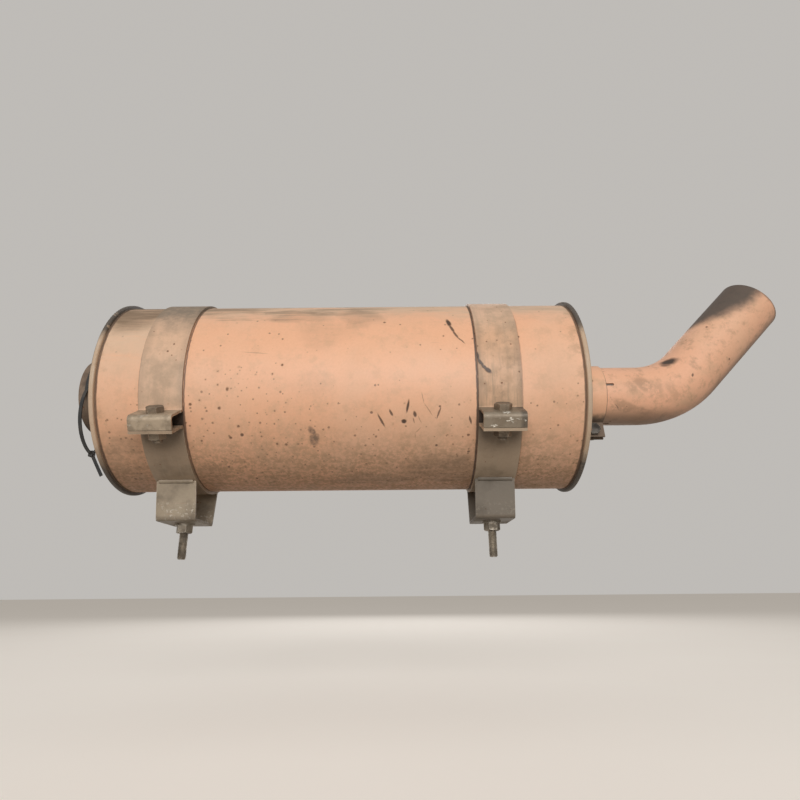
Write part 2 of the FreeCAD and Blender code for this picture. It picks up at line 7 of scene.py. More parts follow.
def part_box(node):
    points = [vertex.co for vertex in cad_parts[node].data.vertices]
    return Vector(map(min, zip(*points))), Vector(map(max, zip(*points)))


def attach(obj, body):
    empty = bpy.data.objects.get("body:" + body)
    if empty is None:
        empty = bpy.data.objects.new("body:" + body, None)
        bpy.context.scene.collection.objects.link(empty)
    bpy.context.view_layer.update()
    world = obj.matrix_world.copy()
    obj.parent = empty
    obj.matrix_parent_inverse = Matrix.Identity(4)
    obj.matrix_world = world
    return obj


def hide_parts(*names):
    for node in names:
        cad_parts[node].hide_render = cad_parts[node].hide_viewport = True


# Used exhaust silencer: salmon heat paint on can and tail pipe, dusty strap mounts, sooty outlet.
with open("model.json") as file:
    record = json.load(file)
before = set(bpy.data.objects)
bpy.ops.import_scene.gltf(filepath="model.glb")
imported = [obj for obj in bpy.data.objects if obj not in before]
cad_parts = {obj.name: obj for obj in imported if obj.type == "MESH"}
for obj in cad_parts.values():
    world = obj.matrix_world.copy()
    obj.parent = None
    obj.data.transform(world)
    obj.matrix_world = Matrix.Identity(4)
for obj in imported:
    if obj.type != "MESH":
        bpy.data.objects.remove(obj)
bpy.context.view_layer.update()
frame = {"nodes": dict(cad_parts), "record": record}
print("frame loaded:", len(frame["nodes"]), "solids")

# Sizes shared by several finishes, in metres, taken from the frame
canLow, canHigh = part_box("can_shell")
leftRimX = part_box("inlet_end_cap")[0].x
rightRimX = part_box("outlet_end_cap")[1].x
canAxisZ = (canLow.z + canHigh.z) / 2
canRadius = (canHigh.z - canLow.z) / 2
strapLow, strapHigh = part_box("outlet_upper_strap")
strapX = (strapLow.x + strapHigh.x) / 2


# Small helpers that lay shader nodes

def addNode(tree, kind, **values):
    made = tree.nodes.new(kind)
    for name, value in values.items():
        setattr(made, name, value)
    return made


def feed(tree, socket, source):
    if isinstance(source, bpy.types.NodeSocket):
        tree.links.new(source, socket)
    elif isinstance(source, (tuple, list)) and len(source) == 3 and socket.type == "RGBA":
        socket.default_value = (*source, 1.0)
    else:
        socket.default_value = source


def calc(tree, operation, first, second=0.0):
    made = addNode(tree, "ShaderNodeMath", operation=operation)
    feed(tree, made.inputs[0], first)
    feed(tree, made.inputs[1], second)
    return made.outputs[0]


def times(tree, *factors):
    product = factors[0]
    for factor in factors[1:]:
        product = calc(tree, "MULTIPLY", product, factor)
    return product


def largest(tree, *masks):
    joined = masks[0]
    for mask in masks[1:]:
        joined = calc(tree, "MAXIMUM", joined, mask)
    return joined


def spread(tree, value, low, high, start=0.0, end=1.0):
    # Smooth step of a value from low to high
    made = addNode(tree, "ShaderNodeMapRange", interpolation_type="SMOOTHSTEP")
    for name, source in (("Value", value), ("From Min", low), ("From Max", high), ("To Min", start), ("To Max", end)):
        feed(tree, made.inputs[name], source)
    return made.outputs["Result"]


def blendColour(tree, amount, under, over, way="MIX"):
    made = addNode(tree, "ShaderNodeMix", data_type="RGBA", blend_type=way, clamp_factor=True)
    feed(tree, made.inputs[0], amount)
    feed(tree, made.inputs[6], under)
    feed(tree, made.inputs[7], over)
    return made.outputs[2]


def blendValue(tree, amount, under, over):
    made = addNode(tree, "ShaderNodeMix", data_type="FLOAT", clamp_factor=True)
    feed(tree, made.inputs[0], amount)
    feed(tree, made.inputs[2], under)
    feed(tree, made.inputs[3], over)
    return made.outputs[0]


def stain(tree, colour, mask, amount, tint):
    return blendColour(tree, calc(tree, "MULTIPLY", mask, amount), colour, tint)


def noise(tree, vector, scale, detail=4.0, roughness=0.55):
    made = addNode(tree, "ShaderNodeTexNoise")
    for name, source in (("Vector", vector), ("Scale", scale), ("Detail", detail), ("Roughness", roughness)):
        feed(tree, made.inputs[name], source)
    return made.outputs["Fac"]


def ripple(tree, vector, scale, reach, detail=4.0, roughness=0.55):
    # Noise laid about zero, which makes a straight border uneven
    return times(tree, calc(tree, "SUBTRACT", noise(tree, vector, scale, detail, roughness), 0.5), reach)


def splitVector(tree, vector):
    made = addNode(tree, "ShaderNodeSeparateXYZ")
    feed(tree, made.inputs[0], vector)
    return made.outputs


def softSpot(tree, vector, middle, turn, halves, edge, core, strength):
    # A spot that is full inside its core and gone at its edge, both given as shares of its half lengths
    made = addNode(tree, "ShaderNodeMapping", vector_type="TEXTURE")
    feed(tree, made.inputs["Vector"], vector)
    made.inputs["Location"].default_value = middle
    made.inputs["Rotation"].default_value = turn
    made.inputs["Scale"].default_value = halves
    far = addNode(tree, "ShaderNodeVectorMath", operation="LENGTH")
    feed(tree, far.inputs[0], made.outputs["Vector"])
    return spread(tree, far.outputs["Value"], edge, core, 0.0, strength)


def placed(tree, vector, scale=(1, 1, 1), shift=(0, 0, 0)):
    made = addNode(tree, "ShaderNodeMapping")
    feed(tree, made.inputs["Vector"], vector)
    made.inputs["Location"].default_value = shift
    made.inputs["Scale"].default_value = scale
    return made.outputs["Vector"]


def shaken(tree, vector, place, scale, amount):
    # The same vector moved about by noise, so what is drawn on it gets an uneven outline
    shake = addNode(tree, "ShaderNodeTexNoise")
    feed(tree, shake.inputs["Vector"], place)
    shake.inputs["Scale"].default_value = scale
    shake.inputs["Detail"].default_value = 3.0
    moved = addNode(tree, "ShaderNodeVectorMath", operation="MULTIPLY_ADD")
    feed(tree, moved.inputs[0], shake.outputs["Color"])
    moved.inputs[1].default_value = (amount, amount, amount)
    moved.inputs[2].default_value = (-amount / 2, -amount / 2, -amount / 2)
    total = addNode(tree, "ShaderNodeVectorMath", operation="ADD")
    feed(tree, total.inputs[0], vector)
    feed(tree, total.inputs[1], moved.outputs["Vector"])
    return total.outputs["Vector"]


def newGroup(name, inputs, outputs):
    # inputs and outputs are pairs of a name and a kind of socket
    group = bpy.data.node_groups.new(name, "ShaderNodeTree")
    for label, kind in inputs:
        group.interface.new_socket(label, in_out="INPUT", socket_type=kind)
    for label, kind in outputs:
        group.interface.new_socket(label, in_out="OUTPUT", socket_type=kind)
    return group, addNode(group, "NodeGroupInput").outputs, addNode(group, "NodeGroupOutput").inputs


def useGroup(tree, group, **sources):
    made = addNode(tree, "ShaderNodeGroup", node_tree=group)
    for name, source in sources.items():
        feed(tree, made.inputs[name], source)
    return made.outputs


# Effects that several finishes share

def makeCloudGroup():
    # Soft uneven patches, from 0 to 1
    group, given, result = newGroup(
        "cloudPatches",
        [("Vector", "NodeSocketVector"), ("Scale", "NodeSocketFloat"), ("Low", "NodeSocketFloat"),
         ("High", "NodeSocketFloat")],
        [("Mask", "NodeSocketFloat")],
    )
    broad = noise(group, given["Vector"], given["Scale"], 5.0, 0.6)
    feed(group, result["Mask"], spread(group, broad, given["Low"], given["High"]))
    return group


def makeSpeckGroup():
    # Scattered rust specks of uneven size, each with a paler ring of stain; Cover is the share of them kept
    group, given, result = newGroup(
        "rustSpecks",
        [("Vector", "NodeSocketVector"), ("Scale", "NodeSocketFloat"), ("Size", "NodeSocketFloat"),
         ("Cover", "NodeSocketFloat")],
        [("Mask", "NodeSocketFloat"), ("Ring", "NodeSocketFloat")],
    )
    cells = addNode(group, "ShaderNodeTexVoronoi", feature="F1")
    feed(group, cells.inputs["Vector"], given["Vector"])
    feed(group, cells.inputs["Scale"], given["Scale"])
    parts = addNode(group, "ShaderNodeSeparateColor")
    feed(group, parts.inputs[0], cells.outputs["Color"])
    wobble = noise(group, given["Vector"], calc(group, "MULTIPLY", given["Scale"], 6.0), 2.0)
    radius = times(group, calc(group, "ADD", parts.outputs[0], 0.35), given["Size"], calc(group, "ADD", wobble, 0.5))
    inside = calc(group, "SUBTRACT", radius, cells.outputs["Distance"])
    kept = calc(group, "LESS_THAN", parts.outputs[1], given["Cover"])
    feed(group, result["Mask"], times(group, spread(group, inside, -0.015, 0.04), kept))
    feed(group, result["Ring"], times(group, spread(group, inside, -0.11, 0.0), kept))
    return group


def makeScuffGroup():
    # Fine scratches that run along the first direction of the vector they are given
    group, given, result = newGroup(
        "fineScuffs",
        [("Vector", "NodeSocketVector"), ("Scale", "NodeSocketFloat"), ("Amount", "NodeSocketFloat")],
        [("Mask", "NodeSocketFloat")],
    )
    lines = noise(group, placed(group, given["Vector"], scale=(1, 24, 24)), given["Scale"], 2.0, 0.5)
    thin = spread(group, lines, calc(group, "SUBTRACT", 0.74, calc(group, "MULTIPLY", given["Amount"], 0.2)), 0.78)
    where = noise(group, given["Vector"], calc(group, "MULTIPLY", given["Scale"], 1.7), 3.0)
    feed(group, result["Mask"], calc(group, "MULTIPLY", thin, spread(group, where, 0.48, 0.62)))
    return group


def makeEdgeGroup():
    # Bare worn edges: where a rounded normal leaves the true one, broken up by noise
    group, given, result = newGroup(
        "wornEdges",
        [("Vector", "NodeSocketVector"), ("Radius", "NodeSocketFloat"), ("Amount", "NodeSocketFloat")],
        [("Mask", "NodeSocketFloat")],
    )
    rounded = addNode(group, "ShaderNodeBevel", samples=4)
    feed(group, rounded.inputs["Radius"], given["Radius"])
    true = addNode(group, "ShaderNodeNewGeometry")
    turn = addNode(group, "ShaderNodeVectorMath", operation="DOT_PRODUCT")
    feed(group, turn.inputs[0], rounded.outputs["Normal"])
    feed(group, turn.inputs[1], true.outputs["Normal"])
    bend = spread(group, calc(group, "SUBTRACT", 1.0, turn.outputs["Value"]), 0.02, 0.2)
    rough = spread(group, noise(group, given["Vector"], 160.0, 4.0, 0.6), 0.35, 0.6)
    feed(group, result["Mask"], times(group, bend, rough, given["Amount"]))
    return group


cloudPatches = makeCloudGroup()
rustSpecks = makeSpeckGroup()
fineScuffs = makeScuffGroup()
wornEdges = makeEdgeGroup()
print("shared effects made")


# What all the finishes are built up from

def startFinish(name):
    material = bpy.data.materials.new(name)
    material.use_nodes = True
    tree = material.node_tree
    shader = tree.nodes["Principled BSDF"]
    place = addNode(tree, "ShaderNodeTexCoord").outputs["Object"]
    return material, tree, shader, place


def layCoats(tree, place, look):
    # Base coat, faded patches, grime, rust specks, scuffs and worn edges, as colour, roughness and height
    fade = useGroup(tree, cloudPatches, Vector=place, Scale=look["fadeScale"], Low=0.4, High=0.65)[0]
    colour = blendColour(tree, fade, look["coat"], look["faded"])
    grime = useGroup(tree, cloudPatches, Vector=placed(tree, place, shift=(3.1, 1.7, 0.4)), Scale=look["grimeScale"],
                     Low=look["grimeLow"], High=look["grimeLow"] + 0.25)[0]
    grime = calc(tree, "MULTIPLY", grime, look["grimeAmount"])
    colour = blendColour(tree, grime, colour, look["grime"])
    fine = noise(tree, place, look["grainScale"], 6.0, 0.7)
    grain = spread(tree, fine, 0.3, 0.75, 0.0, look["grainAmount"])
    colour = blendColour(tree, grain, colour, look["grime"], "MULTIPLY")
    specks = useGroup(tree, rustSpecks, Vector=place, Scale=look["speckScale"], Size=look["speckSize"],
                      Cover=look["speckCover"])
    colour = stain(tree, colour, specks["Ring"], look["ringShow"], look["ring"])
    colour = stain(tree, colour, specks["Mask"], look["rustShow"], look["rust"])
    scuffs = useGroup(tree, fineScuffs, Vector=place, Scale=look["scuffScale"], Amount=look["scuffAmount"])[0]
    colour = stain(tree, colour, scuffs, look["scuffShow"], look["scuff"])
    rough = blendValue(tree, grime, look["roughness"], look["grimeRough"])
    rough = blendValue(tree, specks["Mask"], rough, look["rustRough"])
    height = times(tree, fine, look["grainRise"])
    height = calc(tree, "SUBTRACT", height, times(tree, specks["Mask"], look["speckDip"]))
    height = calc(tree, "SUBTRACT", height, times(tree, scuffs, look["scuffDip"]))
    edges = 0.0
    if look["edgeAmount"] > 0:
        edges = useGroup(tree, wornEdges, Vector=place, Radius=look["edgeRadius"], Amount=look["edgeAmount"])[0]
        colour = blendColour(tree, edges, colour, look["bare"])
        rough = blendValue(tree, edges, rough, look["bareRough"])
    return colour, rough, height, edges


def closeFinish(tree, shader, colour, rough, height, depth, metallic=0.0):
    feed(tree, shader.inputs["Base Color"], colour)
    feed(tree, shader.inputs["Roughness"], rough)
    feed(tree, shader.inputs["Metallic"], metallic)
    bump = addNode(tree, "ShaderNodeBump")
    feed(tree, bump.inputs["Height"], height)
    bump.inputs["Distance"].default_value = depth
    bump.inputs["Strength"].default_value = 0.6
    tree.links.new(bump.outputs["Normal"], shader.inputs["Normal"])


heatPaint = {
    "coat": (0.835, 0.455, 0.272), "faded": (0.81, 0.475, 0.30), "grime": (0.52, 0.355, 0.22),
    "rust": (0.13, 0.065, 0.036), "ring": (0.42, 0.22, 0.12), "scuff": (0.40, 0.24, 0.15), "bare": (0.34, 0.22, 0.15),
    "fadeScale": 7.0, "grimeScale": 9.0, "grimeLow": 0.50, "grimeAmount": 0.25,
    "grainScale": 420.0, "grainAmount": 0.10, "speckScale": 105.0, "speckSize": 0.13, "speckCover": 0.12,
    "scuffScale": 22.0, "scuffAmount": 0.25, "scuffShow": 0.25,
    "edgeRadius": 0.0012, "edgeAmount": 0.8, "roughness": 0.5, "grimeRough": 0.85, "rustRough": 0.9, "bareRough": 0.4,
    "ringShow": 0.35, "rustShow": 0.8, "grainRise": 0.3, "speckDip": 0.5, "scuffDip": 0.4,
}
fastenerCoat = {
    **heatPaint,
    "coat": (0.34, 0.29, 0.225), "faded": (0.44, 0.39, 0.32), "grime": (0.10, 0.075, 0.05),
    "fadeScale": 40.0, "grimeScale": 60.0, "grimeLow": 0.42, "grimeAmount": 0.8, "bare": (0.62, 0.58, 0.52),
    "grainAmount": 0.3, "edgeRadius": 0.0007, "edgeAmount": 1.0, "roughness": 0.4,
}
buckleCoat = {
    **fastenerCoat,
    "coat": (0.22, 0.165, 0.115), "faded": (0.28, 0.215, 0.15), "bare": (0.48, 0.41, 0.33),
}
darkCoat = {**fastenerCoat, "coat": (0.10, 0.09, 0.08), "faded": (0.16, 0.14, 0.12), "grime": (0.03, 0.025, 0.02)}
rustCoat = {
    **fastenerCoat,
    "coat": (0.21, 0.145, 0.10), "faded": (0.32, 0.235, 0.17), "grime": (0.09, 0.062, 0.046),
    "fadeScale": 26.0, "grimeScale": 48.0, "roughness": 0.8, "bare": (0.36, 0.29, 0.23), "edgeAmount": 0.6,
}
innerCoat = {**rustCoat, "coat": (0.30, 0.26, 0.23), "faded": (0.24, 0.19, 0.16), "roughness": 0.6}


def aroundCan(tree, place):
    # Where a point lies on the can: along it, its angle in degrees from the front towards the top, how far it is
    # from the axis, and the first two laid flat as a vector in metres
    parts = splitVector(tree, place)
    forward = calc(tree, "MULTIPLY", parts["Y"], -1.0)
    upward = calc(tree, "SUBTRACT", parts["Z"], canAxisZ)
    turn = calc(tree, "ARCTAN2", upward, forward)
    reach = calc(tree, "SQRT", calc(tree, "ADD", times(tree, forward, forward), times(tree, upward, upward)))
    flat = addNode(tree, "ShaderNodeCombineXYZ")
    feed(tree, flat.inputs["X"], parts["X"])
    feed(tree, flat.inputs["Y"], times(tree, turn, canRadius))
    return parts["X"], times(tree, turn, math.degrees(1)), reach, flat.outputs["Vector"]


def fromLowest(tree, angle):
    # Degrees away from the can's lowest line
    return calc(tree, "ABSOLUTE", calc(tree, "ADD", angle, 90.0))


def offStrap(tree, along):
    # Distance along the can from the middle of the nearer strap
    return calc(tree, "ABSOLUTE", calc(tree, "SUBTRACT", calc(tree, "ABSOLUTE", along), strapX))


def rightEnd(tree, along):
    # 0 over the left half of the can, 1 over the right half
    return spread(tree, along, -0.01, 0.01)


def anyMark(tree, flat, marks):
    # Scratches and stains: soft ellipses on the skin laid flat. Each has its place along the can in metres, its angle
    # from the front towards the top in degrees, its length and width in metres, its lean in degrees and its strength
    masks = []
    for x, angle, length, width, lean, strength in marks:
        middle = (x, math.radians(angle) * canRadius, 0)
        halves = (length / 2, width / 2, 1)
        masks.append(softSpot(tree, flat, middle, (0, 0, math.radians(lean)), halves, 1.2, 0.55, strength))
    return largest(tree, *masks)


def lineMask(tree, along, x, width, amount):
    # A line round the can at one place along it
    off = calc(tree, "ABSOLUTE", calc(tree, "SUBTRACT", along, x))
    return spread(tree, off, width * 0.75, width * 0.25, 0.0, amount)


# Angles are in degrees from the front towards the top
canLook = {
    "dustFrom": 30.0, "dustFull": 50.0, "dust": (0.64, 0.485, 0.345), "dustShow": 0.7,
    "streakFrom": 31.0, "streakFull": 50.0, "streak": (0.225, 0.150, 0.092), "streakShow": 0.8,
    "borderAngle": 34.5, "borderShow": 0.45, "smudgeShow": 0.7, "hollowShow": 0.96, "rimShow": 0.4,
    "lowFrom": -26.0, "lowFull": -60.0, "low": (0.36, 0.225, 0.125), "lowShow": 0.62,
    "mottle": (0.50, 0.315, 0.19), "mottleShow": (0.30, 0.55), "waveScale": 26.0, "wave": 26.0,
    "speckCover": (0.13, 0.85), "smallScale": 185.0, "smallSize": 0.17, "smallCover": (0.12, 0.80),
    "smallRingShow": 0.30, "smallRustShow": 0.6, "dustRough": 0.8, "markRough": 0.85, "dentScale": 13.0, "dent": 3.5,
    "splashed": [(-0.085, -27, 0.150, 0.145, 0, 1.0)],  # where the specks stand closest
    "mark": (0.050, 0.030, 0.020), "faint": (0.30, 0.165, 0.095), "blotch": (0.12, 0.085, 0.060),
    "lineColour": (0.095, 0.058, 0.038), "hollow": (0.032, 0.025, 0.019),
    "marks": [
        (0.1247, 29.7, 0.0150, 0.0052, -78, 1.0), (0.1275, 24.3, 0.0140, 0.0036, -70, 0.9),
        (0.1309, 19.6, 0.0140, 0.0028, -64, 0.85), (0.1362, 15.3, 0.0130, 0.0018, -50, 0.75),
        (0.0789, -22.8, 0.0150, 0.0029, -101, 0.95), (0.0862, -27.0, 0.0070, 0.0037, -78, 0.9),
        (0.0850, -30.5, 0.0065, 0.0013, -78, 0.6), (0.0617, -26.2, 0.0080, 0.0027, -64, 0.85),
        (0.0515, -30.3, 0.0170, 0.0026, -62, 0.85), (0.1110, -26.3, 0.0150, 0.0018, -108, 0.75),
        (0.1120, -22.9, 0.0026, 0.0024, 0, 0.8), (0.1435, -30.5, 0.0100, 0.0024, -75, 0.85),
        (0.0750, -31.0, 0.0056, 0.0050, 0, 1.0), (0.1088, -45.2, 0.0032, 0.0030, 0, 0.8),
        (0.1427, -49.4, 0.0032, 0.0028, 0, 0.7), (-0.0931, -37.8, 0.0040, 0.0038, 0, 0.85),
        (-0.1129, -59.3, 0.0032, 0.0030, 0, 0.75), (0.0416, -25.9, 0.0030, 0.0030, 0, 0.7),
    ],
    "faintMarks": [
        (0.0944, -18.1, 0.0120, 0.0012, -78, 0.6), (0.1002, -24.5, 0.0170, 0.0012, -56, 0.6),
        (0.0912, -29.9, 0.0090, 0.0013, -64, 0.55), (0.0894, -36.0, 0.0090, 0.0013, -136, 0.5),
        (0.0863, -39.0, 0.0060, 0.0012, -90, 0.5), (-0.0800, 8.0, 0.0280, 0.0014, -6, 0.4),
    ],
    "blotches": [
        (-0.0203, -35.9, 0.0120, 0.0070, -60, 0.8), (-0.0183, -40.9, 0.0160, 0.0105, -89, 0.8),
        (-0.0159, -38.8, 0.0075, 0.0050, 23, 0.7),
    ],
    "smudges": [
        (-0.0070, 22.0, 0.0600, 0.0420, 0, 0.22), (-0.0230, -9.0, 0.0500, 0.0320, 12, 0.20),
        (0.0260, 37.0, 0.0560, 0.0460, -8, 0.55), (-0.0380, 39.0, 0.0700, 0.0360, 4, 0.55),
        (0.1150, -64.0, 0.0900, 0.0560, 0, 0.75), (0.0500, -72.0, 0.1400, 0.0260, 0, 0.6),
        (-0.1400, -66.0, 0.0500, 0.0500, 0, 0.5), (-0.2200, -58.0, 0.0700, 0.1050, 0, 0.60),
        (-0.2220, 53.0, 0.0900, 0.1250, 0, 1.4), (-0.1200, 52.0, 0.0800, 0.0420, 0, 0.75),
    ],
    "bandRustAndShadowLines": [(-0.1972, 0.0016, 0.5), (-0.1508, 0.0017, 0.8), (0.1506, 0.0022, 0.97), (0.1972, 0.0013, 0.4)],
}


def canCoats(tree, place, flat, angle):
    # Heat paint with rust specks of two sizes
    splashed = anyMark(tree, flat, canLook["splashed"])
    look = {**heatPaint, "edgeAmount": 0.0, "speckCover": blendValue(tree, splashed, *canLook["speckCover"])}
    colour, rough, height, _ = layCoats(tree, place, look)
    lower = spread(tree, angle, -12, -48)
    cover = blendValue(tree, largest(tree, splashed, times(tree, lower, 0.75)), *canLook["smallCover"])
    small = useGroup(tree, rustSpecks, Vector=placed(tree, place, shift=(0.7, 0.2, 0.5)), Scale=canLook["smallScale"],
                     Size=canLook["smallSize"], Cover=cover)
    colour = stain(tree, colour, small["Ring"], canLook["smallRingShow"], look["ring"])
    colour = stain(tree, colour, small["Mask"], canLook["smallRustShow"], look["rust"])
    mottle = spread(tree, noise(tree, place, 62.0, 7.0, 0.72), 0.46, 0.70)
    colour = stain(tree, colour, mottle, blendValue(tree, lower, *canLook["mottleShow"]), canLook["mottle"])
    return colour, rough, height, mottle


def canDust(tree, colour, along, angle, wavy, streaks):
    # Dust that settled on the upper side and over the whole left end, drawn out lengthwise
    back = spread(tree, angle, 172, 130)
    topDust = spread(tree, wavy, canLook["dustFrom"], canLook["dustFull"])
    endDust = times(tree, spread(tree, along, -0.192, -0.199), spread(tree, wavy, -22, 26))
    dust = times(tree, largest(tree, topDust, endDust), back)
    colour = stain(tree, colour, times(tree, dust, spread(tree, streaks, 0.30, 0.52, 0.5, 1.0)), canLook["dustShow"],
                   canLook["dust"])
    strong = largest(tree, spread(tree, along, 0.09, 0.0, 0.3, 0.85), spread(tree, along, -0.190, -0.200))
    strong = times(tree, strong, spread(tree, angle, 112, 66, 0.5, 1.0))
    dark = spread(tree, wavy, canLook["streakFrom"], canLook["streakFull"])
    dark = times(tree, dark, back, spread(tree, streaks, 0.43, 0.60), strong)
    colour = stain(tree, colour, dark, canLook["streakShow"], canLook["streak"])
    offBorder = calc(tree, "ABSOLUTE", calc(tree, "SUBTRACT", angle, canLook["borderAngle"]))
    border = times(tree, spread(tree, offBorder, 1.1, 0.2), spread(tree, along, 0.0, -0.04),
                   spread(tree, streaks, 0.46, 0.56))
    return stain(tree, colour, border, canLook["borderShow"], canLook["faint"]), dust


def canGrimeAndLowShade(tree, colour, place, flat, wavy, streaks, grains):
    # Grainy grime on the lower side, laid dark enough to paint in the shade there too, and broad smudges
    under = largest(tree, spread(tree, wavy, canLook["lowFrom"], canLook["lowFull"]), spread(tree, wavy, 165, 178))
    under = times(tree, under, spread(tree, grains, 0.40, 0.58, 0.15, 1.0),
                  spread(tree, streaks, 0.35, 0.6, 0.6, 1.0))
    colour = stain(tree, colour, under, canLook["lowShow"], canLook["low"])
    smudges = anyMark(tree, shaken(tree, flat, place, 24.0, 0.050), canLook["smudges"])
    smudges = times(tree, smudges, spread(tree, streaks, 0.30, 0.62, 0.45, 1.0))
    return stain(tree, colour, smudges, canLook["smudgeShow"], canLook["streak"]), under


def canRustAndEdgeShade(tree, colour, place, along, mottle):
    # Rust that creeps out from under the bands and both rims; the dark lines along their edges also paint in contact
    # shadow, stronger at some band edges than at others
    creep = calc(tree, "ADD", along, ripple(tree, place, 130.0, 0.0014, 3.0))
    lines = [lineMask(tree, creep, *line) for line in canLook["bandRustAndShadowLines"]]
    rims = largest(tree, *[lineMask(tree, creep, x, 0.0026, 0.9) for x in (leftRimX + 0.0058, rightRimX - 0.0058)])
    colour = stain(tree, colour, largest(tree, *lines, rims), 1.0, canLook["lineColour"])
    nearRim = calc(tree, "MINIMUM", calc(tree, "SUBTRACT", along, leftRimX), calc(tree, "SUBTRACT", rightRimX, along))
    nearRim = times(tree, spread(tree, nearRim, 0.026, 0.006), mottle)
    return stain(tree, colour, nearRim, canLook["rimShow"], canLook["low"]), rims


def canFinish():
    material, tree, shader, place = startFinish("canPaint")
    along, angle, _, flat = aroundCan(tree, place)
    colour, rough, height, mottle = canCoats(tree, place, flat, angle)
    wavy = calc(tree, "ADD", angle, ripple(tree, place, canLook["waveScale"], canLook["wave"]))
    streaks = noise(tree, placed(tree, flat, scale=(11, 80, 1)), 1.0, 7.0, 0.70)
    grains = noise(tree, place, 230.0, 4.0, 0.7)
    colour, dust = canDust(tree, colour, along, angle, wavy, streaks)
    colour, under = canGrimeAndLowShade(tree, colour, place, flat, wavy, streaks, grains)

    # Scratches, chips and stains
    ragged = shaken(tree, flat, place, 240.0, 0.0014)
    marks, faint, blots = [anyMark(tree, ragged, canLook[name]) for name in ("marks", "faintMarks", "blotches")]
    colour = stain(tree, colour, faint, 1.0, canLook["faint"])
    blots = times(tree, blots, spread(tree, grains, 0.3, 0.6, 0.55, 1.0))
    colour = stain(tree, colour, blots, 1.0, canLook["blotch"])
    colour = stain(tree, colour, marks, 0.95, canLook["mark"])

    # Near-black between the ends of each band, behind the lips: dirt, with painted shade in the gap
    aside = fromLowest(tree, angle)
    gapDirtAndShadeMask = times(tree, spread(tree, offStrap(tree, along), 0.0240, 0.0215), spread(tree, aside, 69.5, 67.5),
                   spread(tree, aside, 42.0, 46.0))
    colour = stain(tree, colour, gapDirtAndShadeMask, canLook["hollowShow"], canLook["hollow"])

    colour, rims = canRustAndEdgeShade(tree, colour, place, along, mottle)
    rough = blendValue(tree, largest(tree, dust, under), rough, canLook["dustRough"])
    rough = blendValue(tree, largest(tree, marks, rims), rough, canLook["markRough"])
    dents = times(tree, noise(tree, flat, canLook["dentScale"], 1.0), canLook["dent"])
    height = calc(tree, "SUBTRACT", calc(tree, "ADD", height, dents), times(tree, marks, 1.3))
    closeFinish(tree, shader, colour, rough, height, 0.0006)
    return material


capLook = {
    **heatPaint,
    "coat": (0.62, 0.44, 0.30), "faded": (0.50, 0.38, 0.27), "grimeScale": 34.0, "grimeLow": 0.42, "grimeAmount": 0.6,
    "dark": (0.055, 0.046, 0.038), "darkAbove": 22.0, "darkBelow": -52.0, "darkShow": 0.93, "darkRough": 0.6,
    "bare": (0.62, 0.55, 0.46), "wave": 30.0, "soften": 7.0, "rimFrom": (0.1085, 0.1115),
}


def capFinish():
    # The folded rims are black with grime above and below, and rubbed pale where the front faces out
    material, tree, shader, place = startFinish("capPaint")
    colour, rough, height, _ = layCoats(tree, place, capLook)
    _, angle, reach, _ = aroundCan(tree, place)
    wavy = calc(tree, "ADD", angle, ripple(tree, place, 30.0, capLook["wave"]))
    above = spread(tree, wavy, capLook["darkAbove"] - capLook["soften"], capLook["darkAbove"] + capLook["soften"])
    below = spread(tree, wavy, capLook["darkBelow"] + 8, capLook["darkBelow"] - 8)
    worn = spread(tree, noise(tree, place, 85.0, 5.0, 0.65), 0.72, 0.60, 0.35, 1.0)
    black = times(tree, largest(tree, above, below), worn, spread(tree, reach, *capLook["rimFrom"]))
    colour = stain(tree, colour, black, capLook["darkShow"], capLook["dark"])
    rough = blendValue(tree, black, rough, capLook["darkRough"])
    closeFinish(tree, shader, colour, rough, height, 0.0005)
    return material


# The tail pipe's radius and the middle of its mouth
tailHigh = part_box("tail_pipe")[1]
tailRadius = tailHigh.y
mouth = Vector((tailHigh.x - tailRadius * math.sqrt(0.5), 0, tailHigh.z - tailRadius * math.sqrt(0.5)))
tailLook = {
    **heatPaint,
    "coat": (0.85, 0.462, 0.287), "speckCover": 0.16, "scuffAmount": 0.35, "grimeScale": 26.0, "grimeAmount": 0.4,
    "soot": (0.070, 0.062, 0.054), "stain": (0.075, 0.050, 0.037), "patch": (0.35, 0.21, 0.125),
    "under": (0.17, 0.115, 0.075), "patchShow": 0.95, "underShadeShow": 0.68, "sootShow": 0.93, "insideShow": 0.96,
    "lipShow": 0.6, "sootRough": 0.9, "clampDirtAndShadowLine": (0.3107, 0.0014, 0.75),
    # Each has a start, an end and a width in millimetres, and a strength
    "stains": [
        ((389, -24, 183), (402, -22, 181), 15.0, 1.0), ((382, -27, 180), (396, -25, 179), 9.0, 0.75),
        ((413.5, -35, 163.5), (413.5, -35, 160.0), 2.2, 0.8), ((314.5, -33.0, 136.3), (319, -30, 131), 1.6, 0.8),
        ((319, -30, 131), (326.5, -24.2, 122.5), 1.1, 0.6), ((391.5, -30, 131), (390, -28, 125), 2.0, 0.7),
        ((411, -34, 141), (411.5, -33.6, 137.5), 1.8, 0.7),
    ],
    "patches": [
        ((348, -35, 156), (360, -34, 147), 18.0, 0.65), ((336, -35, 153), (344, -35, 143), 14.0, 0.5),
        ((322, -29, 133), (340, -26, 124), 14.0, 0.6), ((343, -24, 124), (360, -21, 120), 12.0, 0.55),
        ((366, -34, 152), (374, -33, 140), 14.0, 0.45), ((384, -33, 146), (392, -32, 133), 12.0, 0.4),
    ],
}


def anyStreak(tree, place, streaks):
    # Soft spots drawn out from start to end
    masks = []
    for start, end, width, strength in streaks:
        run = (Vector(end) - Vector(start)) / 1000
        middle = (Vector(end) + Vector(start)) / 2000
        halves = ((run.length + width / 1000) / 2, width / 2000, width / 2000)
        turn = run.to_track_quat("X", "Z").to_euler()
        masks.append(softSpot(tree, place, middle, turn, halves, 1.25, 0.5, strength))
    return largest(tree, *masks)


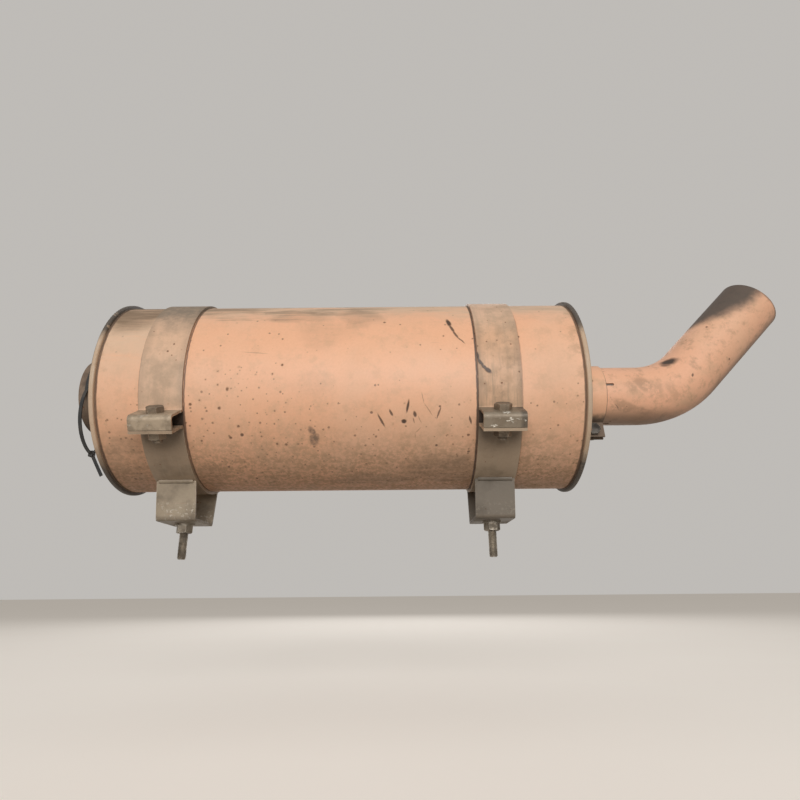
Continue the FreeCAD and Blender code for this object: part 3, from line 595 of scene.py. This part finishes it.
def sootMask(tree, place, back, across, sideways):
    # Soot that licks back from the mouth along the upper side, covers the lip and blackens the inside
    edge = calc(tree, "ADD", times(tree, back, back, 4.4), times(tree, back, 0.05))
    warp = ripple(tree, place, 60.0, 0.016, 6.0, 0.65)
    depth = calc(tree, "ADD", calc(tree, "SUBTRACT", across, edge), warp)
    soot = times(tree, spread(tree, depth, -0.009, 0.012), spread(tree, back, 0.145, 0.085))
    lip = spread(tree, calc(tree, "ADD", back, times(tree, warp, 0.2)), 0.0030, 0.0008)
    squares = calc(tree, "ADD", times(tree, across, across), times(tree, sideways, sideways))
    inside = spread(tree, calc(tree, "SQRT", squares), tailRadius - 0.0005, tailRadius - 0.0011)
    inside = times(tree, inside, spread(tree, back, 0.12, 0.10))
    return largest(tree, times(tree, soot, tailLook["sootShow"]), times(tree, lip, tailLook["lipShow"]),
                   times(tree, inside, tailLook["insideShow"]))


def tailFinish():
    material, tree, shader, place = startFinish("tailPaint")
    colour, rough, height, _ = layCoats(tree, place, tailLook)
    parts = splitVector(tree, place)

    # Distances back from the mouth, and across from the middle of the last run towards its upper side
    fromMouth = placed(tree, place, shift=tuple(-mouth))
    distances = []
    for way in ((-1, 0, -1), (-1, 0, 1)):
        made = addNode(tree, "ShaderNodeVectorMath", operation="DOT_PRODUCT")
        feed(tree, made.inputs[0], fromMouth)
        made.inputs[1].default_value = Vector(way).normalized()
        distances.append(made.outputs["Value"])
    back, across = distances

    mottle = noise(tree, place, 75.0, 7.0, 0.72)
    patches = anyStreak(tree, shaken(tree, place, place, 55.0, 0.016), tailLook["patches"])
    patches = largest(tree, times(tree, patches, spread(tree, mottle, 0.36, 0.54)),
                      spread(tree, mottle, 0.49, 0.68, 0.0, 0.5))
    colour = stain(tree, colour, patches, tailLook["patchShow"], tailLook["patch"])
    # Painted shade: darker below a height and along the lower side of the last run
    low = spread(tree, parts["Z"], 0.1290, 0.1140)
    outer = times(tree, spread(tree, across, -0.0250, -0.0340), spread(tree, back, 0.17, 0.13))
    colour = stain(tree, colour, largest(tree, low, outer), tailLook["underShadeShow"], tailLook["under"])
    # A dark line along the clamp's edge: contact dirt, with painted shadow under the band's step
    colour = stain(tree, colour, lineMask(tree, parts["X"], *tailLook["clampDirtAndShadowLine"]), 1.0, tailLook["stain"])
    stains = anyStreak(tree, shaken(tree, place, place, 120.0, 0.004), tailLook["stains"])
    colour = stain(tree, colour, stains, 1.0, tailLook["stain"])
    grey = sootMask(tree, place, back, across, parts["Y"])
    colour = blendColour(tree, grey, colour, tailLook["soot"])
    rough = blendValue(tree, largest(tree, grey, stains), rough, tailLook["sootRough"])
    closeFinish(tree, shader, colour, rough, height, 0.0005)
    return material


strapLook = {
    **heatPaint,
    "coat": (0.70, 0.45, 0.295), "faded": (0.62, 0.43, 0.295), "grime": (0.30, 0.23, 0.155),
    "bare": (0.40, 0.33, 0.26), "grimeScale": 34.0, "grimeLow": 0.42, "grimeAmount": 0.45,
    "speckScale": 170.0, "speckSize": 0.14, "speckCover": 0.4,
    "scuffScale": 30.0, "scuffAmount": 0.5, "scuffShow": 0.35, "roughness": 0.48,
    "dust": (0.205, 0.165, 0.122), "edgeGrime": (0.18, 0.135, 0.09), "tarAndGapShade": (0.030, 0.024, 0.018),
    "brown": (0.96, 0.81, 0.67), "brownShow": 0.55, "mottleShow": 0.36,
    "wave": 36.0, "dustReach": 23.0, "dustShow": 0.9,
    # Pairs for the left band and the right one: where dust starts, and how much each of the others shows
    "dustFrom": (17.0, 72.0), "runShow": (0.12, 0.5), "sideShow": (0.5, 0.4), "chipGlintShow": (0.25, 0.95),
    "leftLip": (0.43, 0.335, 0.235), "rightLip": (0.245, 0.195, 0.14), "glint": (0.74, 0.70, 0.62),
    "marks": [
        (0.1519, 4.4, 0.0130, 0.0034, -80, 0.95), (0.1548, 0.3, 0.0120, 0.0036, -54, 0.95),
        (0.1580, -2.2, 0.0090, 0.0038, -42, 0.95), (0.1618, -3.9, 0.0100, 0.0052, -36, 1.0),
    ],
}


def strapDust(tree, colour, place, flat, along, wavy, right):
    # Dust reaches further down on the left band; the right one is cleaner above and browner below
    dustFrom = blendValue(tree, right, *strapLook["dustFrom"])
    dust = spread(tree, wavy, dustFrom, calc(tree, "ADD", dustFrom, strapLook["dustReach"]))
    clean = blendValue(tree, right, 0.55, spread(tree, wavy, 8.0, 40.0, 1.0, 0.35))
    mottle = noise(tree, place, 95.0, 7.0, 0.72)
    dust = times(tree, dust, spread(tree, mottle, 0.34, 0.58, 0.68, 1.0))
    colour = stain(tree, colour, dust, strapLook["dustShow"], strapLook["dust"])
    runs = noise(tree, placed(tree, flat, scale=(260, 22, 1)), 1.0, 5.0, 0.66)
    runs = times(tree, spread(tree, runs, 0.46, 0.66), spread(tree, wavy, 12, -6, 0.35, 1.0))
    colour = stain(tree, colour, runs, blendValue(tree, right, *strapLook["runShow"]), strapLook["grime"])
    darkened = times(tree, spread(tree, mottle, 0.50, 0.72), clean)
    colour = stain(tree, colour, darkened, strapLook["mottleShow"], strapLook["edgeGrime"])
    offMiddle = calc(tree, "ADD", offStrap(tree, along), ripple(tree, place, 70.0, 0.007))
    sides = times(tree, spread(tree, offMiddle, 0.0125, 0.0222), clean)
    colour = stain(tree, colour, sides, blendValue(tree, right, *strapLook["sideShow"]), strapLook["edgeGrime"])
    brown = times(tree, right, spread(tree, wavy, 36.0, 8.0), strapLook["brownShow"])
    return blendColour(tree, brown, colour, strapLook["brown"], "MULTIPLY"), dust


def strapLips(tree, place, along, right):
    # Bare dirty steel with tar at the right end and a few bright chips painted pale as glints, where the buckle bolts
    # pull the bands together
    tone = noise(tree, place, 75.0, 5.0, 0.65)
    colour = blendColour(tree, right, strapLook["leftLip"], strapLook["rightLip"])
    colour = stain(tree, colour, spread(tree, along, strapX + 0.013, strapX + 0.018), 0.6, strapLook["tarAndGapShade"])
    colour = blendColour(tree, spread(tree, tone, 0.42, 0.66, 0.0, 0.65), colour, strapLook["edgeGrime"])
    # Bright chips, painted pale to stand for glints on the bare steel
    drawnOut = placed(tree, place, scale=(0.5, 1, 1), shift=(0.3, 0.1, 0.7))
    chipGlints = times(tree, spread(tree, noise(tree, drawnOut, 260.0, 3.0, 0.6), 0.60, 0.65),
                  blendValue(tree, right, *strapLook["chipGlintShow"]), spread(tree, tone, 0.44, 0.54))
    return blendColour(tree, chipGlints, colour, strapLook["glint"]), chipGlints, tone


def strapFinish():
    material, tree, shader, place = startFinish("strapDust")
    colour, rough, height, edges = layCoats(tree, place, strapLook)
    along, angle, reach, flat = aroundCan(tree, place)
    right = rightEnd(tree, along)
    wavy = calc(tree, "ADD", angle, ripple(tree, place, 34.0, strapLook["wave"]))
    colour, dust = strapDust(tree, colour, place, flat, along, wavy, right)

    below = spread(tree, fromLowest(tree, angle), 66.0, 64.5)
    lips = largest(tree, spread(tree, reach, 0.1132, 0.1142), below)
    lipColour, chipGlints, lipTone = strapLips(tree, place, along, right)
    colour = blendColour(tree, times(tree, lips, calc(tree, "SUBTRACT", 1.0, times(tree, edges, 0.5))), colour,
                         lipColour)
    # Painted shade in the gap between the lower ears and the can
    colour = stain(tree, colour, times(tree, below, spread(tree, reach, 0.1240, 0.1190)), 0.9, strapLook["tarAndGapShade"])

    marks = anyMark(tree, shaken(tree, flat, place, 260.0, 0.0022), strapLook["marks"])
    colour = stain(tree, colour, marks, 0.96, canLook["mark"])
    rough = blendValue(tree, dust, rough, 0.8)
    shine = times(tree, lips, blendValue(tree, chipGlints, 0.3, 0.9))
    height = calc(tree, "SUBTRACT", calc(tree, "ADD", height, times(tree, lips, lipTone, 1.2)), marks)
    closeFinish(tree, shader, colour, rough, height, 0.0005, shine)
    return material


saddleLook = {
    **strapLook,
    "coat": (0.40, 0.285, 0.19), "faded": (0.45, 0.33, 0.225), "grime": (0.20, 0.15, 0.10),
    "bare": (0.50, 0.41, 0.30), "grimeScale": 30.0, "grimeLow": 0.46, "grimeAmount": 0.55, "speckCover": 0.15,
    "roughness": 0.5, "shade": (0.12, 0.09, 0.062), "shadeShow": (0.55, 0.75), "run": (0.43, 0.335, 0.235),
    "runShow": 0.4, "bareShine": 0.8,
}


def saddleFinish():
    # Darker up towards the ears, with paler runs
    material, tree, shader, place = startFinish("saddleGrime")
    colour, rough, height, edges = layCoats(tree, place, saddleLook)
    along, angle, reach, flat = aroundCan(tree, place)
    shade = times(tree, spread(tree, fromLowest(tree, angle), 36.0, 58.0), spread(tree, reach, 0.1155, 0.1135))
    shadeShow = blendValue(tree, rightEnd(tree, along), *saddleLook["shadeShow"])
    colour = stain(tree, colour, shade, shadeShow, saddleLook["shade"])
    runs = noise(tree, placed(tree, flat, scale=(160, 22, 1)), 1.0, 4.0, 0.6)
    colour = stain(tree, colour, spread(tree, runs, 0.52, 0.70), saddleLook["runShow"], saddleLook["run"])
    closeFinish(tree, shader, colour, rough, height, 0.0005, times(tree, edges, saddleLook["bareShine"]))
    return material


footLook = {
    **strapLook,
    "coat": (0.36, 0.285, 0.20), "faded": (0.44, 0.36, 0.26), "grime": (0.15, 0.115, 0.08),
    "bare": (0.55, 0.48, 0.39), "grimeScale": 30.0, "grimeLow": 0.45, "grimeAmount": 0.7,
    "speckScale": 150.0, "speckSize": 0.12, "speckCover": 0.25, "scuffShow": 0.5,
    "rightGrey": (0.115, 0.095, 0.074), "greyShow": 0.82, "pit": (0.66, 0.58, 0.47), "pitShow": 0.7,
    "pitHeights": (0.024, 0.010), "soleShadeHeights": (0.0060, 0.0030), "soleShadeShow": 0.5, "bareShine": 0.85,
}


def footFinish():
    # The left foot is scuffed and pitted pale, the right one is evenly grey, and the sole is darkened as painted
    # shade
    material, tree, shader, place = startFinish("footScuffs")
    colour, rough, height, edges = layCoats(tree, place, footLook)
    parts = splitVector(tree, place)
    right = rightEnd(tree, parts["X"])
    colour = blendColour(tree, times(tree, right, footLook["greyShow"]), colour, footLook["rightGrey"])
    pits = spread(tree, noise(tree, place, 300.0, 4.0, 0.65), 0.56, 0.64)
    pits = times(tree, pits, spread(tree, parts["Z"], *footLook["pitHeights"]),
                 calc(tree, "SUBTRACT", 1.0, times(tree, right, 0.85)))
    colour = stain(tree, colour, pits, footLook["pitShow"], footLook["pit"])
    # Painted shade: darker at the sole
    soleShade = spread(tree, parts["Z"], *footLook["soleShadeHeights"])
    colour = stain(tree, colour, soleShade, footLook["soleShadeShow"], footLook["grime"])
    height = calc(tree, "SUBTRACT", height, times(tree, pits, 0.6))
    closeFinish(tree, shader, colour, rough, height, 0.0006, times(tree, edges, footLook["bareShine"]))
    return material


def coatedFinish(name, look, depth, metallic=0.0):
    material, tree, shader, place = startFinish(name)
    colour, rough, height, edges = layCoats(tree, place, look)
    shine = blendValue(tree, edges, metallic, 0.9)
    closeFinish(tree, shader, colour, rough, height, depth, shine)
    return material


clampLook = {
    **heatPaint,
    "grimeAmount": 0.6, "grimeScale": 40.0, "lugDark": (0.115, 0.088, 0.064), "lugDarkShow": 0.93, "lugDarkRough": 0.75,
    "lugDarkHeights": (0.1240, 0.1170),
}


def clampFinish():
    # Painted band whose lugs, hanging underneath, are dark
    material, tree, shader, place = startFinish("clampPaint")
    colour, rough, height, _ = layCoats(tree, place, clampLook)
    uneven = calc(tree, "ADD", splitVector(tree, place)["Z"], times(tree, noise(tree, place, 110.0, 4.0), 0.006))
    darkened = spread(tree, uneven, *clampLook["lugDarkHeights"])
    colour = stain(tree, colour, darkened, clampLook["lugDarkShow"], clampLook["lugDark"])
    closeFinish(tree, shader, colour, blendValue(tree, darkened, rough, clampLook["lugDarkRough"]), height, 0.0004)
    return material


tieLook = {
    "plastic": (0.018, 0.018, 0.018), "dust": (0.16, 0.13, 0.10), "dustShow": 0.35, "dustScale": 60.0,
    "ribs": 260.0, "clean": 0.38, "dusty": 0.7,
}


def tieFinish():
    material, tree, shader, place = startFinish("tiePlastic")
    ribs = addNode(tree, "ShaderNodeTexWave", wave_type="BANDS", bands_direction="Z")
    feed(tree, ribs.inputs["Vector"], place)
    ribs.inputs["Scale"].default_value = tieLook["ribs"]
    dust = noise(tree, place, tieLook["dustScale"], 4.0)
    colour = blendColour(tree, spread(tree, dust, 0.45, 0.8, 0.0, tieLook["dustShow"]), tieLook["plastic"],
                         tieLook["dust"])
    rough = spread(tree, dust, 0.3, 0.8, tieLook["clean"], tieLook["dusty"])
    closeFinish(tree, shader, colour, rough, ribs.outputs["Fac"], 0.0003)
    return material


finishes = {
    "can_paint": canFinish(),
    "cap_paint": capFinish(),
    "tail_paint": tailFinish(),
    "clamp_paint": clampFinish(),
    "strap_zinc": strapFinish(),
    "saddle_steel": saddleFinish(),
    "foot_steel": footFinish(),
    "stud_steel": coatedFinish("studSteel", fastenerCoat, 0.0003, 0.6),
    "buckle_fastener": coatedFinish("buckleSteel", buckleCoat, 0.0003, 0.3),
    "dark_fastener": coatedFinish("clampSteel", darkCoat, 0.0003, 0.5),
    "inner_steel": coatedFinish("innerSteel", innerCoat, 0.0003, 0.5),
    "rusty_pipe": coatedFinish("rustyPipe", rustCoat, 0.0008, 0.1),
    "tie_plastic": tieFinish(),
}
slotOfNode = {part["node"]: part["material_slot"] for part in frame["record"]["subparts"]}
for name, solid in frame["nodes"].items():
    solid.data.materials.clear()
    solid.data.materials.append(finishes[slotOfNode[name]])
print("finishes laid on", len(frame["nodes"]), "solids")


# Threaded stud bolts under both feet, which stand for the plain ones of the frame

stud = {
    "across": 0.016, "headTop": 0.00945, "headUnder": 0.00305, "headBevel": 0.0009,
    "shank": 0.0045, "threadTop": -0.0106, "tip": -0.039, "pitch": 0.0015,
    "core": 0.00418, "crest": 0.00498, "profile": (0.0, 0.385, 1.0, 0.385, 0.0),  # root, flank, crest, flank, root
    "steps": 28, "sides": 36, "overlap": 0.0002, "shankBevel": 0.0003, "tipBevel": 0.0008, "weld": 0.00001,
    "smoothBelow": 28,
}


def clearSelection():
    if bpy.context.object and bpy.context.object.mode != "OBJECT":
        bpy.ops.object.mode_set(mode="OBJECT")
    bpy.ops.object.select_all(action="DESELECT")


def addStudHead():
    # Six-sided head with its upper corners bevelled
    middle = (stud["headTop"] + stud["headUnder"]) / 2
    bpy.ops.mesh.primitive_cylinder_add(
        vertices=6, radius=stud["across"] / 2 / math.cos(math.pi / 6), depth=stud["headTop"] - stud["headUnder"],
        location=(0, 0, middle), rotation=(0, 0, math.pi / 2))
    head = bpy.context.object
    bpy.ops.object.transform_apply(location=True, rotation=True, scale=True)
    bpy.ops.object.mode_set(mode="EDIT")
    bpy.ops.mesh.select_all(action="DESELECT")
    bpy.ops.object.mode_set(mode="OBJECT")
    for edge in head.data.edges:
        edge.select = all(head.data.vertices[i].co.z > middle for i in edge.vertices)
    bpy.ops.object.mode_set(mode="EDIT")
    bpy.ops.mesh.select_mode(type="EDGE")
    bpy.ops.mesh.bevel(offset=stud["headBevel"], segments=2)
    bpy.ops.object.mode_set(mode="OBJECT")
    return head


def addStudShank():
    # Plain shank inside foot, washer and nut
    top, bottom = stud["headUnder"] + stud["overlap"], stud["threadTop"] - stud["overlap"]
    bpy.ops.mesh.primitive_cylinder_add(
        vertices=stud["sides"], radius=stud["shank"], depth=top - bottom, location=(0, 0, (top + bottom) / 2))
    shank = bpy.context.object
    bpy.ops.object.transform_apply(location=True, rotation=True, scale=True)
    bpy.ops.object.mode_set(mode="EDIT")
    bpy.ops.mesh.select_all(action="SELECT")
    bpy.ops.mesh.bevel(offset=stud["shankBevel"], segments=1, affect="EDGES")
    bpy.ops.object.mode_set(mode="OBJECT")
    return shank


def addStudThread():
    # One tooth of the thread is drawn as a line, wound up by a screw modifier, then cut level at both ends
    length = stud["threadTop"] - stud["tip"]
    turns = math.ceil(length / stud["pitch"]) + 3
    bpy.ops.mesh.primitive_plane_add(size=stud["pitch"], location=(0, 0, 0))
    thread = bpy.context.object
    bpy.ops.object.mode_set(mode="EDIT")
    bpy.ops.mesh.select_all(action="SELECT")
    bpy.ops.mesh.delete(type="ONLY_FACE")
    bpy.ops.mesh.select_all(action="DESELECT")
    bpy.ops.object.mode_set(mode="OBJECT")
    for edge in thread.data.edges:  # keeps one side of the square as the line
        edge.select = not all(thread.data.vertices[i].co.x > 0 for i in edge.vertices)
    bpy.ops.object.mode_set(mode="EDIT")
    bpy.ops.mesh.select_mode(type="EDGE")
    bpy.ops.mesh.delete(type="EDGE")
    bpy.ops.mesh.select_all(action="SELECT")
    bpy.ops.mesh.subdivide(number_cuts=len(stud["profile"]) - 2)
    bpy.ops.object.mode_set(mode="OBJECT")
    start = stud["tip"] - 1.5 * stud["pitch"]
    for corner in thread.data.vertices:
        share = corner.co.y / stud["pitch"] + 0.5
        rise = stud["profile"][round(share * (len(stud["profile"]) - 1))]
        corner.co = (stud["core"] + (stud["crest"] - stud["core"]) * rise, 0, start + share * stud["pitch"])
    wind = thread.modifiers.new("wind", "SCREW")
    wind.axis = "Z"
    wind.angle = math.tau
    wind.screw_offset = stud["pitch"]
    wind.iterations = turns
    wind.steps = stud["steps"]
    wind.render_steps = stud["steps"]
    wind.use_merge_vertices = True
    wind.merge_threshold = stud["weld"]
    bpy.ops.object.modifier_apply(modifier="wind")
    bpy.ops.object.mode_set(mode="EDIT")
    bpy.ops.mesh.select_mode(type="VERT")
    bpy.ops.mesh.select_all(action="SELECT")
    bpy.ops.mesh.remove_doubles(threshold=stud["weld"])
    for level, way in ((stud["threadTop"], 1), (stud["tip"], -1)):
        bpy.ops.mesh.select_all(action="SELECT")
        bpy.ops.mesh.bisect(plane_co=(0, 0, level), plane_no=(0, 0, way), use_fill=True, clear_outer=True)
    bpy.ops.mesh.select_all(action="SELECT")
    bpy.ops.mesh.normals_make_consistent(inside=False)
    bpy.ops.object.mode_set(mode="OBJECT")
    for corner in thread.data.vertices:  # rounds the thread off towards the tip
        over = stud["tip"] + 2 * stud["tipBevel"] - corner.co.z
        out = math.hypot(corner.co.x, corner.co.y)
        if over > 0 and out > 0:
            keep = 1.0 - 0.5 * over / out
            corner.co.x *= keep
            corner.co.y *= keep
    return thread


def makeStuds():
    clearSelection()
    head = addStudHead()
    shank = addStudShank()
    thread = addStudThread()
    clearSelection()
    for part in (head, shank, thread):
        part.select_set(True)
    bpy.context.view_layer.objects.active = head
    bpy.ops.object.join()
    bpy.ops.object.shade_smooth_by_angle(angle=math.radians(stud["smoothBelow"]))
    head.data.materials.clear()
    head.data.materials.append(finishes["stud_steel"])
    second = head.copy()
    second.data = head.data.copy()
    bpy.context.scene.collection.objects.link(second)
    for piece, end, x in ((head, "inlet", -strapX), (second, "outlet", strapX)):
        piece.name = end + "ThreadedStud"
        piece.data.transform(Matrix.Translation((x, 0, 0)))
        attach(piece, "root")
        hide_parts(end + "_stud_bolt")
    print("threaded studs made:", len(head.data.polygons), "faces each")


makeStuds()


# Floor, light and camera

studio = {
    "floorZ": -0.20, "floorSize": 30.0, "floorColour": (0.80, 0.755, 0.705), "floorTone": 0.94,
    "floorGlow": (0.26, 0.235, 0.205), "floorBounce": (0.30, 0.28, 0.25), "floorRough": 0.8,
    "skyColour": (0.52, 0.50, 0.475), "ambientColour": (1.0, 0.98, 0.95), "ambient": 0.21,
    "panelDistance": 2.4, "panelSize": 1.5, "keyLift": 12.0, "keyPower": 46.0, "backLift": 30.0, "backPower": 16.0,
    "topHeight": 2.2, "topSize": 2.5, "topPower": 4.4,
}
view = {
    "aimX": 0.0695, "distance": 0.701, "lift": -18.5, "roll": -0.5, "lens": 25.92, "shift": 0.0019,
}


def seenDirectly(tree):
    # 1 where floor or sky is looked at, straight or in a reflection, 0 where it only lights the part
    seen = addNode(tree, "ShaderNodeLightPath").outputs
    return largest(tree, seen["Is Camera Ray"], seen["Is Glossy Ray"], seen["Is Transmission Ray"])


def makeFloor():
    clearSelection()
    bpy.ops.mesh.primitive_plane_add(size=studio["floorSize"], location=(0, 0, studio["floorZ"]))
    floor = bpy.context.object
    floor.name = "studioFloor"
    material, tree, shader, place = startFinish("floorPaint")
    seen = seenDirectly(tree)
    dark = tuple(studio["floorTone"] * part for part in studio["floorColour"])
    pale = blendColour(tree, noise(tree, place, 3.0, 6.0, 0.6), dark, studio["floorColour"])
    feed(tree, shader.inputs["Base Color"], blendColour(tree, seen, studio["floorBounce"], pale))
    shader.inputs["Roughness"].default_value = studio["floorRough"]
    shader.inputs["Specular IOR Level"].default_value = 0.0
    feed(tree, shader.inputs["Emission Color"], studio["floorGlow"])
    feed(tree, shader.inputs["Emission Strength"], seen)
    floor.data.materials.append(material)


def makeSky():
    world = bpy.data.worlds.new("studioSky")
    bpy.context.scene.world = world
    world.use_nodes = True
    tree = world.node_tree
    light = tree.nodes["Background"]
    seen = seenDirectly(tree)
    feed(tree, light.inputs["Color"], blendColour(tree, seen, studio["ambientColour"], studio["skyColour"]))
    feed(tree, light.inputs["Strength"], blendValue(tree, seen, studio["ambient"], 1.0))


def makeLamp(name, place, target, size, power):
    lamp = bpy.data.lights.new(name, "AREA")
    lamp.size = size
    lamp.energy = power
    made = bpy.data.objects.new(name, lamp)
    bpy.context.scene.collection.objects.link(made)
    made.location = place
    made.rotation_mode = "QUATERNION"
    made.rotation_quaternion = (Vector(target) - Vector(place)).to_track_quat("-Z", "Y")


def makePanels():
    middle = Vector((view["aimX"], 0, canAxisZ))
    for name, side in (("key", -1), ("back", 1)):
        lift = math.radians(studio[name + "Lift"])
        place = middle + Vector((0, side * math.cos(lift), math.sin(lift))) * studio["panelDistance"]
        makeLamp(name + "Panel", place, middle, studio["panelSize"], studio[name + "Power"])
    makeLamp("topPanel", (view["aimX"], 0, studio["topHeight"]), middle, studio["topSize"], studio["topPower"])


def makeCamera():
    lift = math.radians(view["lift"])
    aim = Vector((view["aimX"], 0, canAxisZ))
    back = Vector((0, -math.cos(lift), math.sin(lift)))
    camera = bpy.data.cameras.new("photoCamera")
    camera.lens = view["lens"]
    camera.sensor_width = 36.0
    camera.shift_x = view["shift"]
    camera.shift_y = -view["shift"]
    camera.clip_start = 0.01
    made = bpy.data.objects.new("photoCamera", camera)
    bpy.context.scene.collection.objects.link(made)
    upright = (-back).to_track_quat("-Z", "Y").to_matrix()
    rolled = upright @ Matrix.Rotation(math.radians(view["roll"]), 3, "Z")
    made.matrix_world = Matrix.Translation(aim + back * view["distance"]) @ rolled.to_4x4()
    bpy.context.scene.camera = made


makeFloor()
makeSky()
makePanels()
makeCamera()
bpy.context.scene.view_settings.view_transform = "Standard"
print("studio set up")
